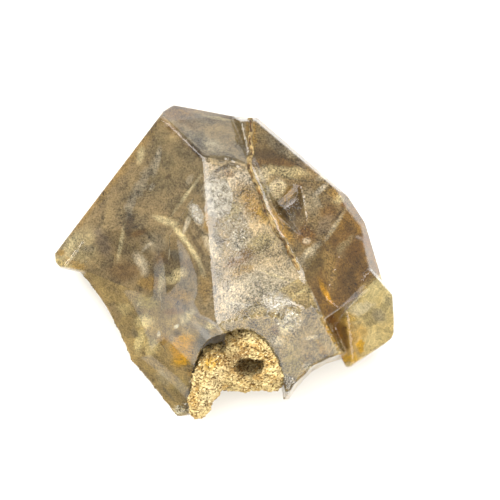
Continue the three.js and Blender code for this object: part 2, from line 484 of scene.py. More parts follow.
def streaks(
    tree: Tree, where: Socket, way: Socket, width: float
) -> Socket:
    """Rules fine straight streaks whose bearing differs from splinter to splinter.

    Args:
        tree: The material's node tree.
        where: The pattern's coordinates.
        way: A value from 0 to 1 that gives each splinter's bearing.
        width: How wide a streak is, in millimetres.

    Returns:
        An output about 0.5 on average.
    """
    angle = maths(tree, "MULTIPLY", way, 2 * math.pi)
    turned = add(tree, "ShaderNodeVectorRotate", {"Vector": where, "Angle": angle}, rotation_type="Z_AXIS").outputs[0]
    longer = Vector((9.0, 1.0, 3.0))
    drawn = add(tree, "ShaderNodeMapping", {"Vector": turned, "Scale": longer}, vector_type="TEXTURE").outputs[0]
    scale = 1 / (width * MM)
    line = add(tree, "ShaderNodeTexNoise", {"Vector": drawn, "Scale": scale, "Detail": 3.0, "Roughness": 0.7})
    return line.outputs["Fac"]


@dataclass(frozen=True)
class StainedWall:
    """A healed crack that spreads under a whole face, with films of fluid, clay and rust in blots of their own.

    grit is how rough the wall looks at a grain's scale, blotch at a finger nail's, and the three numbers after it
    darken
    and warm its colour: painted shade per face, with a warm tint for the quartz behind it. Of the constants, SPLINTER,
    SHARD, STREAK, GRAIN, BLOTCH and LACE are the sizes of its patterns in millimetres, RAGGED and STRAIGHT how far the
    borders of its blots and its narrow streaks sway, and NARROW the half width under which a blot is a streak.
    """

    ground: str
    grit: float = 0.3
    blotch: float = 0.5
    face_shade_tint: tuple[float, float, float] = (1.0, 1.0, 1.0)
    stains: tuple[Stain, ...] = ()

    SPLINTER = 1.8
    SHARD = 4.5
    STREAK = 0.4
    GRAIN = 0.32
    BLOTCH = 4.0
    LACE = 2.5
    RAGGED = 1.3
    STRAIGHT = 0.35
    NARROW = 0.75
    CONTRAST = 4.2
    STREAKY = 1.5
    SPLIT = 0.25
    SEAMS = 0.25
    COVER = 0.98
    DIMMEST = 0.12
    BRIGHTEST = 0.9
    ROUGHNESS = 0.5

    def films(
        self, tree: Tree, ragged: Socket, straight: Socket
    ) -> tuple[Any, Any]:
        """Lays the films on the ground.

        Args:
            tree: The material's node tree.
            ragged: Coordinates for blots.
            straight: Coordinates for narrow streaks.

        Returns:
            The colour and the grit, as values or outputs.
        """
        colour: Any = linear(self.ground)
        grit: Any = self.grit
        for stain in self.stains:
            mask = stain.place.mask(tree, straight if stain.place.short < self.NARROW else ragged)
            share = maths(tree, "MULTIPLY", mask, stain.strength)
            colour = blend(tree, share, colour, linear(stain.film.value))
            if stain.grit:
                grit = maths(tree, "MAXIMUM", maths(tree, "MULTIPLY", mask, stain.grit), grit)
        return colour, grit

    def made(self, name: str, _place: Oval | None = None) -> bpy.types.Material:
        """Builds the material under a name and returns it. Its films reach the wall's borders, wherever it lies."""
        material, tree, coordinates = new_material(name)
        where = coordinates.outputs["Object"]
        ragged = swayed(tree, where, 2.0, 2 * self.RAGGED, 5.0, 0.6)
        straight = swayed(tree, where, 2.0, 2 * self.STRAIGHT, 5.0, 0.6)
        colour, grit = self.films(tree, ragged, straight)
        flat, border = splinters(tree, where, self.SPLINTER)
        large, edge = splinters(tree, ragged, self.SHARD)
        coarse = {"Vector": ragged, "Scale": 1 / (self.BLOTCH * MM), "Detail": 7.0, "Roughness": 0.65}
        grainy = {"Vector": where, "Scale": 1 / (self.GRAIN * MM), "Detail": 1.0}
        bright: Any = 1.0
        for pattern, reach in (
            (add(tree, "ShaderNodeTexNoise", coarse).outputs["Fac"], self.blotch * self.CONTRAST),
            (flat, self.SPLIT),
            (large, self.SPLIT),
            (streaks(tree, straight, large, self.STREAK), self.STREAKY),
            (add(tree, "ShaderNodeTexNoise", grainy).outputs["Fac"], maths(tree, "MULTIPLY", grit, self.CONTRAST)),
        ):
            bright = maths(tree, "MULTIPLY_ADD", maths(tree, "SUBTRACT", pattern, 0.5), reach, bright)
        for crack in (edge, border):
            bright = maths(tree, "MULTIPLY_ADD", crack, self.SEAMS, bright)
        bright = maths(tree, "MAXIMUM", bright, self.DIMMEST)
        # painted shade: each face's colour is darkened and warmed by its own factor
        face_shaded = vectors(tree, "MULTIPLY", colour, self.face_shade_tint)
        lit = add(tree, "ShaderNodeVectorMath", {0: face_shaded, "Scale": bright}, operation="SCALE").outputs[0]
        lit = vectors(tree, "MINIMUM", lit, (self.BRIGHTEST,) * 3)
        _, film = mottle(tree, ragged, linear(self.ground), linear(self.ground), self.LACE, self.COVER, 0.04)
        coated(tree, Base_Color=lit, Roughness=self.ROUGHNESS, Alpha=film)
        return material


@dataclass(frozen=True)
class CrackFinish:
    """The wall of a healed crack inside the quartz: a lace of fluid, clay or rust films that light catches on.

    cover is how much of the wall the film hides, grain the size of its blots, fleck that of its specks and cells
    that of the flat splinters that it broke into, in millimetres, and seams how strongly their borders show.
    """

    ground: str
    light: str
    dark: str
    cover: float
    grain: float
    fleck: float
    cells: float
    seams: float
    light_share: float = 0.35
    dark_share: float = 0.35
    roughness: float = 0.55
    metal: float = 0.0

    BLUR = 0.08

    def made(self, name: str, place: Oval) -> bpy.types.Material:
        """Builds the material.

        Args:
            name: Its name.
            place: Where the film lies, so that it fades towards its border.

        Returns:
            The material.
        """
        material, tree, coordinates = new_material(name)
        where = coordinates.outputs["Object"]
        moved = {"Vector": where, "Location": metres((place.x, place.y, place.long))}
        along = add(tree, "ShaderNodeMapping", moved, vector_type="TEXTURE").outputs[0]
        dark, light = linear(self.dark), linear(self.light)
        colour, _ = mottle(tree, along, linear(self.ground), dark, self.grain, self.dark_share, self.BLUR)
        colour, _ = mottle(tree, along, colour, light, self.grain * 0.4, self.light_share, self.BLUR)
        value, border = splinters(tree, along, self.cells)
        colour = blend(tree, maths(tree, "MULTIPLY", value, 0.6), colour, dark)
        colour = blend(tree, maths(tree, "MULTIPLY", border, self.seams), colour, light)
        colour, _ = mottle(tree, along, colour, dark, self.fleck, self.dark_share * 0.6, self.BLUR)
        colour, _ = mottle(tree, along, colour, light, self.fleck * 0.8, self.light_share * 0.6, self.BLUR)
        _, film = mottle(tree, along, dark, dark, self.grain * 0.8, self.cover, self.BLUR * 1.5)
        film = maths(tree, "MULTIPLY", film, maths(tree, "MULTIPLY_ADD", value, 0.5, 0.5))
        sway = 0.7 * place.short * MM
        ragged = add(tree, "ShaderNodeTexNoise", {"Vector": along, "Scale": 0.9 / (place.short * MM), "Detail": 3.0})
        centred = vectors(tree, "SUBTRACT", ragged.outputs["Color"], (0.5, 0.5, 0.5))
        fade = place.mask(tree, vectors(tree, "MULTIPLY_ADD", centred, (sway, sway, 0), where))
        film = maths(tree, "MULTIPLY", film, fade)
        coated(tree, Base_Color=colour, Roughness=self.roughness, Metallic=self.metal, Alpha=film)
        return material


@dataclass(frozen=True)
class FlakeFinish:
    """A small air-filled crack in quartz: it mirrors light like foil."""

    colour: str = "#F4F1EA"
    roughness: float = 0.3
    metal: float = 0.8
    shade: str = "#9C8E70"

    def made(self, name: str) -> bpy.types.Material:
        """Builds the material under a name and returns it."""
        material, tree, place = new_material(name)
        colour, _ = mottle(tree, place.outputs["Object"], linear(self.colour), linear(self.shade), 1.0, 0.5)
        coated(tree, Base_Color=colour, Roughness=self.roughness, Metallic=self.metal)
        return material


@dataclass(frozen=True)
class PorousDolostone:
    """Weathered vuggy dolostone, iron stained: dull and granular, with painted highlights on its ribs, dark in its
    pores, and painted shade in its hollows.
    """

    name: str = "dolostone_weathered"
    pale: str = "#C8B47E"
    rust: str = "#B09052"
    # dark is the pores' colour and also the painted shade in the hollows.
    dark: str = "#5A3E16"
    rib_highlight: str = "#E8D6A2"
    bedding: float = 28.0
    spots: tuple[Stain, ...] = blots(
        (2, -20.6, 3.2, 2.2, -15, Film.RUST, 0.4), (3.4, -18.8, 2.2, 1, 30, Film.BROWN, 0.5),
        (-2.6, -20.6, 1.6, 1.2, 10, Film.GOLD, 0.45), (-2.6, -26, 4.6, 1.4, 62, Film.CREAM, 0.5),
    )

    def made(self) -> bpy.types.Material:
        """Builds the material and returns it."""
        material, tree, place = new_material(self.name)
        where = place.outputs["Object"]
        colour, _ = mottle(tree, where, linear(self.pale), linear(self.rust), 3.0, 0.45)
        for spot in self.spots:
            mask = spot.place.mask(tree, swayed(tree, where, 0.8, spot.place.short * 0.9, 4.0))
            colour = blend(tree, maths(tree, "MULTIPLY", mask, spot.strength), colour, linear(spot.film.value))
        laid = {"Rotation": Euler((0, 0, math.radians(self.bedding))), "Scale": Vector((2.6, 1.0, 1.0))}
        drawn = add(tree, "ShaderNodeMapping", {"Vector": where, **laid}, vector_type="TEXTURE").outputs[0]
        colour, _ = mottle(tree, drawn, colour, linear(self.dark), 0.34, 0.36, 0.05)
        # Pale specks along the bedding stand for lit ribs: painted highlight.
        colour, _ = mottle(tree, drawn, colour, linear(self.rib_highlight), 0.3, 0.3, 0.05)
        # Concave spots are darkened towards the dark colour: painted shade in the hollows.
        hollow = add(tree, "ShaderNodeNewGeometry").outputs["Pointiness"]
        steps = {"Value": hollow, "From Min": 0.42, "From Max": 0.52, "To Min": 0.9, "To Max": 0.0}
        hollow_shade = add(tree, "ShaderNodeMapRange", steps).outputs[0]
        coated(tree, Base_Color=blend(tree, hollow_shade, colour, linear(self.dark)), Roughness=0.9)
        return material


# --- Cracks, veils and films inside the quartz ---

PLATE = CrackFinish("#B4AC9A", "#F0ECE2", "#7C7462", 0.8, 2.4, 0.4, 1.3, 0.6, 0.45, 0.45)
WHITE = CrackFinish("#DAD4C8", "#FFFFFF", "#8E8470", 0.7, 1.2, 0.3, 1.0, 0.5, 0.5, 0.4, roughness=0.3, metal=0.3)
VEIL = CrackFinish("#B8AA88", "#E4DCC4", "#8A7246", 0.45, 5.0, 0.7, 5.0, 0.3)
FOIL_CRACK = FlakeFinish()
GOLD_FOIL = FlakeFinish("#D8BE86", 0.35, 0.6, "#7A5A24")
SEAM = (
    (5.6, 28.2), (5.4, 26.8), (5.0, 23.8), (5.5, 21.8), (4.8, 19.0), (6.0, 16.2), (6.6, 14.8),
    (7.6, 12.2), (8.1, 10.0), (9.6, 7.8), (10.0, 6.2), (12.0, 4.0), (13.4, 1.4), (14.3, -0.2),
    (15.8, -3.0),
)


LEFT_STAINS = blots(
    (-30, 1.8, 5, 3.4, 30, 0.7, Film.CREAM, 0.6), (-9.6, 22.6, 8, 4, -50, 0.7, Film.OLIVE, 0.6),
    (-10.4, 29.7, 2.4, 1.2, -25, Film.HONEY, 0.8), (-7.8, 24.3, 4.8, 1, -42, Film.BROWN, 0.75),
    (-5.4, 21.7, 1.4, 0.6, -45, Film.UMBER, 0.7), (-23.2, 15.3, 15, 1.2, 50, Film.HONEY, 0.45),
    (-16.6, 21.1, 1.6, 0.7, 80, Film.CREAM, 0.7), (-13.4, 19.5, 2.8, 0.6, 78, Film.MILK, 0.75),
    (-16.2, 15.7, 5.6, 1, 60, Film.GREY, 0.75), (-18.6, 11.1, 2.6, 0.8, 75, Film.GREY, 0.75),
    (-14.4, 14.7, 0.8, 0.5, 60, Film.MILK, 0.8), (-11.8, 16.5, 4.4, 2.4, 60, Film.OLIVE, 0.7),
    (-11.2, 16.7, 0.8, 0.4, 30, Film.UMBER, 0.7), (-12.8, 24.1, 1.8, 1, 80, Film.OLIVE, 0.6),
    (-6.8, 16.1, 1.2, 0.6, 60, Film.GREY, 0.6), (-18.6, 6.9, 2.6, 1, 85, Film.UMBER, 0.75),
    (-24.2, 3.5, 2.8, 1.4, -60, Film.MAUVE, 0.85), (-27.2, 2.5, 1.4, 0.6, Film.GREY, 0.6),
    (-20.6, 3.5, 3, 0.4, 80, Film.CREAM, 0.85), (-17, 5.5, 1.6, 0.6, 20, Film.BROWN, 0.8),
    (-30.6, 3.5, 2, 1, 60, Film.CREAM, 0.85), (-32.6, 1.5, 0.8, 0.6, Film.HONEY, 0.8),
    (-29.6, -0.7, 2.2, 0.8, -20, Film.HONEY, 0.55), (-25.6, -0.3, 2, 1, Film.TAN, 0.6),
    (-11.6, 7.9, 2.4, 0.64, -18, Film.CREAM, 0.85, 0.3), (-8.6, 5.1, 2.4, 0.56, -50, Film.CREAM, 0.9, 0.4),
    (-6, 1.5, 2.8, 0.48, -60, Film.CREAM, 0.9, 0.4), (-4.2, -2.3, 1.8, 0.44, -68, Film.CREAM, 0.8, 0.4),
    (-7.4, 6.5, 2.2, 0.4, -52, Film.UMBER, 0.6), (-5.2, 2.9, 2.2, 0.44, -58, Film.UMBER, 0.65),
    (-7.4, 13.1, 4.6, 0.34, 53, Film.CREAM, 0.9), (-7.2, 7.7, 2.6, 0.44, 70, Film.MILK, 0.85),
    (-6.6, 9.9, 1.6, 1, 60, Film.OLIVE, 0.8), (-9.2, 11.1, 1.8, 0.8, 50, Film.OLIVE, 0.6),
    (-5.4, 9.1, 1.8, 0.9, -50, Film.MILK, 0.85, 0.9), (-13.8, 3.5, 2.4, 2, Film.GREY, 0.6, 0.3),
    (-16.6, -0.5, 2.4, 1.1, -65, Film.MILK, 0.85), (-15.2, 2.9, 1.6, 0.4, 40, Film.MILK, 0.7),
    (-9.2, 1.1, 1.6, 1, -20, Film.SLATE, 0.8), (-12.6, 0.5, 1.4, 1.2, Film.BROWN, 0.7),
    (-7.2, -0.7, 1.8, 0.8, -25, Film.BROWN, 0.6), (-22.4, 9.1, 2.4, 1.6, 50, Film.TAN, 0.7),
    (-9.2, 25.1, 2, 1, 40, Film.TAN, 0.6),
)
LOWER_LEFT_STAINS = blots(
    (-9, -6, 7, 5, 20, 0.7, Film.OLIVE, 0.75), (-20, -2.1, 3, 1.8, Film.BROWN, 0.6),
    (-25.2, -3.1, 2, 1.2, -45, Film.OLIVE, 0.4), (-14.8, -4.5, 2, 1.2, Film.HONEY, 0.6, 0.3),
    (-12.4, -3.9, 2.8, 0.6, 80, Film.CREAM, 0.7, 0.5), (-9.6, -3.1, 2, 1.2, 30, Film.CREAM, 0.7, 0.8),
    (-9, -7.5, 2.2, 1.8, Film.HONEY, 0.55), (-10, -10.1, 2, 0.7, 5, Film.BROWN, 0.8),
    (-7.2, -11.1, 1.8, 0.8, 40, Film.CREAM, 0.7), (-15.4, -8.3, 2.4, 1.4, Film.KHAKI, 0.8),
    (-17, -8.7, 0.6, 0.2, 40, Film.CREAM, 1), (-20, -9.7, 1.4, 1.2, Film.CREAM, 0.4),
    (-21.8, -10.1, 1.8, 0.8, -60, Film.MAUVE, 0.45), (-16, -12.1, 1.8, 1.2, Film.CREAM, 0.8),
    (-18, -14.5, 0.8, 1.2, Film.SLATE, 0.6), (-16.8, -16.1, 2.2, 0.8, 75, Film.CREAM, 0.85),
    (-14.4, -17.1, 1.4, 1.8, Film.CREAM, 0.6), (-9.4, -13.1, 0.5, 0.3, 50, Film.WHITE, 1),
    (-13, -14.7, 0.3, 0.6, Film.WHITE, 0.9), (-9.4, -14.5, 0.9, 0.6, Film.UMBER, 0.7),
    (-8.2, -16.5, 2.3, 1.5, 30, Film.GOLD, 1), (-8.4, -19.7, 1.9, 1.3, 30, Film.GOLD, 1),
    (-9.6, -18.3, 0.8, 1.6, 20, Film.HONEY, 0.8), (-12, -15.7, 1, 1, Film.HONEY, 0.7),
    (-6.8, -17.1, 0.8, 1.4, Film.HONEY, 0.6), (-12.2, -23.5, 1.8, 1.2, -50, Film.GREY, 0.7),
    (-8.8, -25.1, 1.4, 1.8, -60, Film.KHAKI, 0.5), (-11.2, -26.5, 2, 0.32, -45, Film.SLATE, 0.7),
    (-5.6, -22.5, 0.8, 1.8, 80, Film.HONEY, 0.8), (-6.8, -26.1, 1.4, 0.6, 60, Film.SLATE, 0.8),
    (-8.4, -29.7, 1.6, 0.8, 10, Film.WHITE, 0.9, 1), (-4, -15.1, 3, 1, 75, Film.SLATE, 0.95, 0.6),
    (-4, -18.3, 1.2, 0.6, 80, Film.UMBER, 0.8, 0.6), (-2, -19.3, 1.4, 0.8, 60, Film.UMBER, 0.8, 0.6),
    (-2.6, -12.9, 1, 0.8, Film.CREAM, 0.6, 1),
)
MIDDLE_STAINS = blots(
    (-0.6, 4.4, 5.2, 2.2, 92, 0.7, Film.TAN, 0.9, 0.8), (-1.6, -4.5, 4.6, 1.6, 92, 0.7, Film.TAN, 0.7, 0.5),
    (-2.2, 13.1, 3.2, 1.6, 97, Film.WHITE, 0.95, 0.4), (0.4, 13.1, 2.4, 1, 85, Film.GREY, 0.8),
    (-1, 10.5, 1.8, 1.6, Film.WHITE, 0.8, 0.6), (-2, 16.7, 1.2, 1, Film.SLATE, 0.6, 1),
    (-1.4, 17.9, 0.8, 0.4, 30, Film.UMBER, 0.9), (0, 18.5, 0.8, 0.4, 10, Film.UMBER, 0.9),
    (3.4, 16.1, 2.4, 1.8, 30, Film.ROSE, 0.9), (1, 17.3, 1, 0.6, -20, Film.RUST, 0.5),
    (1.8, 18.9, 1.6, 0.4, -5, Film.UMBER, 0.7), (5.2, 12.1, 4, 1.6, -55, Film.HONEY, 0.75, 1),
    (7.6, 9.1, 1.8, 1, -60, Film.GOLD, 0.6, 1), (2.6, 6.9, 3.4, 2.4, 100, Film.GREY, 0.85, 1),
    (3.2, 3.5, 1.8, 1.8, Film.MILK, 0.85, 1), (1.4, 9.7, 2, 1.4, 50, Film.KHAKI, 0.6, 1),
    (-3.4, 7.7, 2.8, 0.6, 85, Film.HONEY, 0.6, 0.5), (-2, 7.7, 1.2, 1.6, Film.OLIVE, 0.7),
    (-1.4, 4.5, 1.6, 0.8, -60, Film.SLATE, 0.85), (-0.6, 3.7, 1.2, 0.26, 30, Film.UMBER, 0.9),
    (-2.4, 2.9, 3, 1, -62, Film.MILK, 0.6, 0.8), (2.8, 0.5, 0.8, 0.4, 20, Film.WHITE, 0.9, 0.8),
    (4.6, 1.5, 1.8, 1.2, 20, Film.BROWN, 0.85, 1), (2.2, -0.3, 2, 0.8, 20, Film.RUST, 0.6, 0.7),
    (-1.2, -3.1, 1.2, 1.4, Film.OLIVE, 0.8, 0.5), (3.8, -1.9, 2.2, 0.8, 20, Film.HONEY, 0.8),
    (7.2, 3.5, 2.8, 1.8, 20, Film.KHAKI, 0.6, 0.7), (8, -4.5, 5.2, 2.8, 10, Film.MILK, 0.75, 0.15),
    (9.2, -3.1, 1.8, 1, Film.GREY, 0.7), (10.4, -3.1, 3.6, 0.26, -20, Film.CREAM, 0.8),
    (1.4, -6.3, 3, 1.8, Film.ROSE, 0.7), (2.8, -9.1, 3.8, 1.2, -8, Film.MILK, 0.85),
    (3.6, -8.7, 3, 0.2, -8, Film.WHITE, 0.7), (3.8, -10.3, 1, 0.6, Film.HONEY, 0.6),
    (0.4, -12.3, 1.8, 1.4, Film.GREY, 0.7), (-3.6, -5.7, 1.2, 2.6, Film.HONEY, 0.5),
    (-1.8, -5.3, 0.3, 0.2, Film.UMBER, 0.9), (-1.4, -10.1, 0.3, 0.2, Film.UMBER, 0.9),
    (9.8, -8.3, 2.6, 1.6, 20, Film.WHITE, 0.7, 1), (13.2, -11.9, 2.6, 1.8, 30, Film.WHITE, 0.65, 1),
    (11.8, -12.1, 0.8, 0.6, Film.SLATE, 0.6), (13.8, -11.7, 0.7, 0.5, Film.SLATE, 0.6),
    (9.8, -9.3, 1, 0.5, Film.SLATE, 0.4), (10.2, -13.7, 0.7, 1, Film.BROWN, 0.95),
    (15.2, -6.3, 1.8, 0.32, 28, Film.CREAM, 0.9), (16.2, -9.5, 2, 1.6, Film.TAN, 0.7, 0.4),
    (7.5, -6, 9, 5, 10, 0.7, Film.GREY, 0.35),
)
PRONG_STAINS = blots(
    (12.4, -22.6, 1.4, 0.9, 60, Film.OLIVE, 0.7), (15.6, -19.8, 2.2, 0.7, 40, Film.HONEY, 0.6),
    (18.4, -16.8, 1.6, 1.1, Film.KHAKI, 0.7), (13.8, -17.6, 1.8, 0.8, -20, Film.CREAM, 0.6),
    (17, -22, 2.6, 0.7, 35, Film.BROWN, 0.5), (21, -18.6, 1.6, 0.9, 50, Film.TAN, 0.7),
    (13.6, -20.1, 2, 3, -10, Film.KHAKI, 0.9), (16.2, -17.1, 2.8, 1.6, 30, Film.TAN, 0.6, 0.4),
    (17.4, -15.3, 1.6, 0.4, 10, Film.WHITE, 0.6), (19.6, -17.9, 2.4, 0.6, -65, Film.HONEY, 0.6),
    (10.8, -20.1, 3.4, 0.52, -80, Film.SLATE, 0.8), (10.8, -16.5, 0.8, 0.6, Film.SLATE, 0.7),
    (10.2, -15.9, 1.6, 1, Film.WHITE, 0.6, 1), (13.2, -11.9, 2.8, 1.8, 30, Film.WHITE, 0.6, 1),
    (13, -24.5, 1.4, 1, Film.UMBER, 0.7, 1), (12, -23.3, 1, 0.8, Film.WHITE, 0.6, 1),
    (12.4, -27.3, 0.8, 1.2, Film.TAN, 0.6), (16.6, -21.1, 0.8, 0.8, Film.WHITE, 0.9, 0.8),
    (11.2, -23.7, 1.2, 0.4, -60, Film.UMBER, 0.6), (16.2, -11.5, 2.4, 1.6, 20, Film.TAN, 0.6, 0.4),
)
UPPER_STAINS = blots(
    (-3, 29.4, 9.5, 1.2, -8, Film.BROWN, 0.75), (-8.6, 26.3, 3.2, 1, -30, Film.MILK, 0.85),
    (-6.8, 24.3, 2.6, 1.2, -40, Film.GREY, 0.7), (-2.4, 22.9, 2.4, 1.2, -25, Film.MILK, 0.7, 0.5),
    (-1.4, 26.3, 3, 1.4, -10, Film.TAN, 0.9), (2.4, 24.7, 1.8, 2.2, Film.TAN, 0.8),
    (5, 26.5, 3.4, 0.7, 95, Film.HONEY, 0.85), (-8.8, 29.5, 2.4, 0.6, -10, Film.HONEY, 0.85),
    (-3.6, 29.1, 3.2, 0.6, -8, Film.TAN, 0.8), (-0.8, 28.3, 3, 0.28, -10, Film.CREAM, 0.8),
    (-7.8, 24.9, 4.6, 0.2, -42, Film.CREAM, 0.7), (3.2, 28.5, 1.6, 0.4, -20, Film.BROWN, 0.7),
)
SIDE_STAINS = blots(
    (11.4, 20.8, 6.5, 2, -14, 0.6, Film.UMBER, 0.6), (10.4, 23.9, 2.8, 1.6, -40, Film.SLATE, 0.7),
    (13.4, 22.9, 5.2, 0.44, -42, Film.UMBER, 0.6), (6.8, 25.1, 1.8, 1.8, Film.OLIVE, 0.6),
    (5.6, 24.5, 0.6, 3, -5, Film.HONEY, 0.8), (6.4, 28.5, 1.8, 0.6, Film.UMBER, 0.85),
    (9, 20.9, 4, 1, -12, Film.UMBER, 0.75, 0.7), (11.4, 19.5, 2.6, 0.8, -10, Film.BROWN, 0.8, 0.7),
    (7.6, 19.5, 1.6, 0.8, Film.BROWN, 0.7, 0.5), (13.2, 21.5, 1.8, 0.8, -15, Film.GREY, 0.6),
    (15.6, 19.5, 1.4, 1.2, Film.MAUVE, 0.7), (12, 17.7, 4.6, 1, -4, Film.CREAM, 0.75, 1),
    (7.6, 17.1, 1.8, 1.4, Film.MILK, 0.7, 0.6), (8.8, 14.1, 1.6, 1.4, -50, Film.KHAKI, 0.7, 0.5),
    (10.6, 14.1, 1.7, 1.3, 60, Film.CREAM, 0.95, 0.5), (10.4, 14.2, 1.9, 1.4, 60, Film.WHITE, 0.8),
    (10.6, 14.1, 1.6, 1.2, 60, Film.GOLD, 0.3), (12.6, 12.7, 2.6, 0.64, 55, Film.HONEY, 0.95, 0.5),
    (13.9, 9.9, 2.4, 1.5, 60, Film.BROWN, 0.95), (13.7, 9.7, 2, 1.2, 60, Film.UMBER, 0.7),
    (13.4, 8.5, 1.2, 0.9, Film.SLATE, 0.7), (15, 10.9, 0.8, 1.4, Film.UMBER, 0.6),
    (15, 14.7, 0.7, 0.7, Film.BROWN, 0.8), (10.4, 8.7, 2, 0.8, -50, Film.HONEY, 0.8),
    (12, 5.9, 3, 0.9, -55, Film.HONEY, 0.85), (10.2, 6.5, 1.6, 0.5, -50, Film.RUST, 0.9),
    # The small rose spot at 16.4, 3.9 is a painted glint.
    (16.2, 4.9, 1.8, 1.8, Film.RUST, 0.8, 0.9), (16.4, 3.9, 0.8, 0.6, Film.ROSE, 0.9, 1),
    (12.8, 1.9, 1.6, 1, Film.OLIVE, 0.8, 0.6), (17.2, 11.7, 1.4, 2.6, 10, Film.GREY, 0.6, 1),
    (19.2, 14.1, 1.8, 0.5, 40, Film.WHITE, 0.7, 0.4), (19.8, 16.7, 1.4, 0.6, 20, Film.MILK, 0.7),
    (18.4, 12.1, 0.8, 1.6, 10, Film.GREY, 0.8), (21.8, 13.7, 1.8, 1, -40, Film.HONEY, 0.6),
    (23, 12.1, 1, 0.8, Film.CREAM, 0.7), (23.8, 11.1, 0.7, 0.6, Film.RUST, 0.8),
    (21, 9.9, 1.8, 1.2, Film.BROWN, 0.85), (22.6, 8.9, 1.8, 0.32, 50, Film.UMBER, 0.8),
    (20.2, 6.9, 1.4, 2, -30, Film.MAUVE, 0.7), (22, 6.7, 3, 0.46, 55, Film.MILK, 0.7),
    (24.6, 8.3, 3, 1.2, 55, Film.HONEY, 0.4), (27.4, 6.5, 1.6, 1.2, -60, Film.HONEY, 0.5, 0.4),
    (17.2, 1.7, 2.2, 0.8, 45, Film.MILK, 0.8), (14.2, -0.3, 2.2, 1, 10, Film.GREY, 0.8, 0.6),
)
DARK_STAINS = blots(
    (18.2, -0.7, 3, 1.6, 60, Film.OLIVE, 0.7, 0.4), (21, -1.1, 1.2, 4.6, 5, Film.TAN, 0.6, 1),
    (23, 1.7, 1.6, 1.2, Film.MAUVE, 0.7, 0.5), (24.4, 3.3, 2.2, 0.8, 40, Film.GREY, 0.75, 1),
    (26.2, 2.1, 2.2, 1.8, 60, Film.BROWN, 0.8), (28.4, 3.7, 1.6, 0.8, -60, Film.RUST, 0.8),
    (29.6, 0.3, 3, 1.2, -75, Film.HONEY, 0.35, 0.4), (25.6, -1.9, 3.4, 0.6, 55, Film.UMBER, 0.5),
    (24.2, -5.1, 2.2, 2.6, Film.UMBER, 0.35), (20, -6.1, 2.6, 0.56, -65, Film.GOLD, 0.7, 0.5),
    (20.8, -7.3, 1.6, 0.32, -60, Film.GOLD, 0.8), (18.8, -6.3, 1.6, 0.32, -62, Film.UMBER, 0.6),
    (20, -10.1, 2.6, 0.8, -68, Film.HONEY, 0.5), (21.8, -11.1, 1.8, 0.8, 65, Film.UMBER, 0.35),
)
LOW_STAINS = blots(
    (24.2, -14.6, 4.8, 2, -66, 0.6, Film.HONEY, 0.9), (23.4, -14.4, 4.6, 1.2, -66, 0.6, Film.BROWN, 0.45),
    (29.4, -5.7, 2.6, 1.8, 40, Film.CREAM, 0.6), (27.4, -9.5, 2.6, 1, 25, Film.WHITE, 0.45),
    (32.4, -7.3, 1, 2.6, Film.CREAM, 0.5), (25, -11.3, 1.2, 0.8, Film.GOLD, 0.5, 0.5),
    (30.8, -10.9, 1.6, 1.2, -60, Film.GREY, 0.75), (27.4, -14.1, 1.2, 1.4, Film.HONEY, 0.6),
    (29.6, -15.7, 1.8, 1.6, Film.CREAM, 0.3), (22.4, -13.3, 3.4, 1.1, -62, Film.RUST, 0.75),
    (21.2, -14.7, 2.8, 0.5, -62, Film.GOLD, 0.8), (24.2, -15.1, 2.4, 0.52, -80, Film.BROWN, 0.7),
    (27.2, -17.1, 0.6, 1.3, Film.GOLD, 0.95), (24.6, -19.5, 2, 1, Film.GOLD, 0.9),
)

FLANK_STAINS = blots(
    (-26, 14, 7, 3, 50, Film.OLIVE, 0.7), (-22, -14, 6, 3, -55, Film.CREAM, 0.5),
    (12, 27, 6, 3, -40, Film.BROWN, 0.6), (27, 7, 5, 4, -60, Film.BROWN, 0.7), (30, -14, 6, 4, 30, Film.HONEY, 0.6),
    (2, 4, 12, 6, 20, Film.MILK, 0.5), (-12, 8, 8, 5, -30, Film.SLATE, 0.5), (14, -16, 6, 3, 60, Film.GREY, 0.6),
)
SKIN_STAINS = blots((-9, 28.2, 4, 2.2, -15, Film.HONEY, 0.5), (-8, 24.5, 6, 0.5, -42, Film.BROWN, 0.6))
STAINS = LEFT_STAINS + LOWER_LEFT_STAINS + MIDDLE_STAINS + PRONG_STAINS
STAINS += UPPER_STAINS + SIDE_STAINS + DARK_STAINS + LOW_STAINS


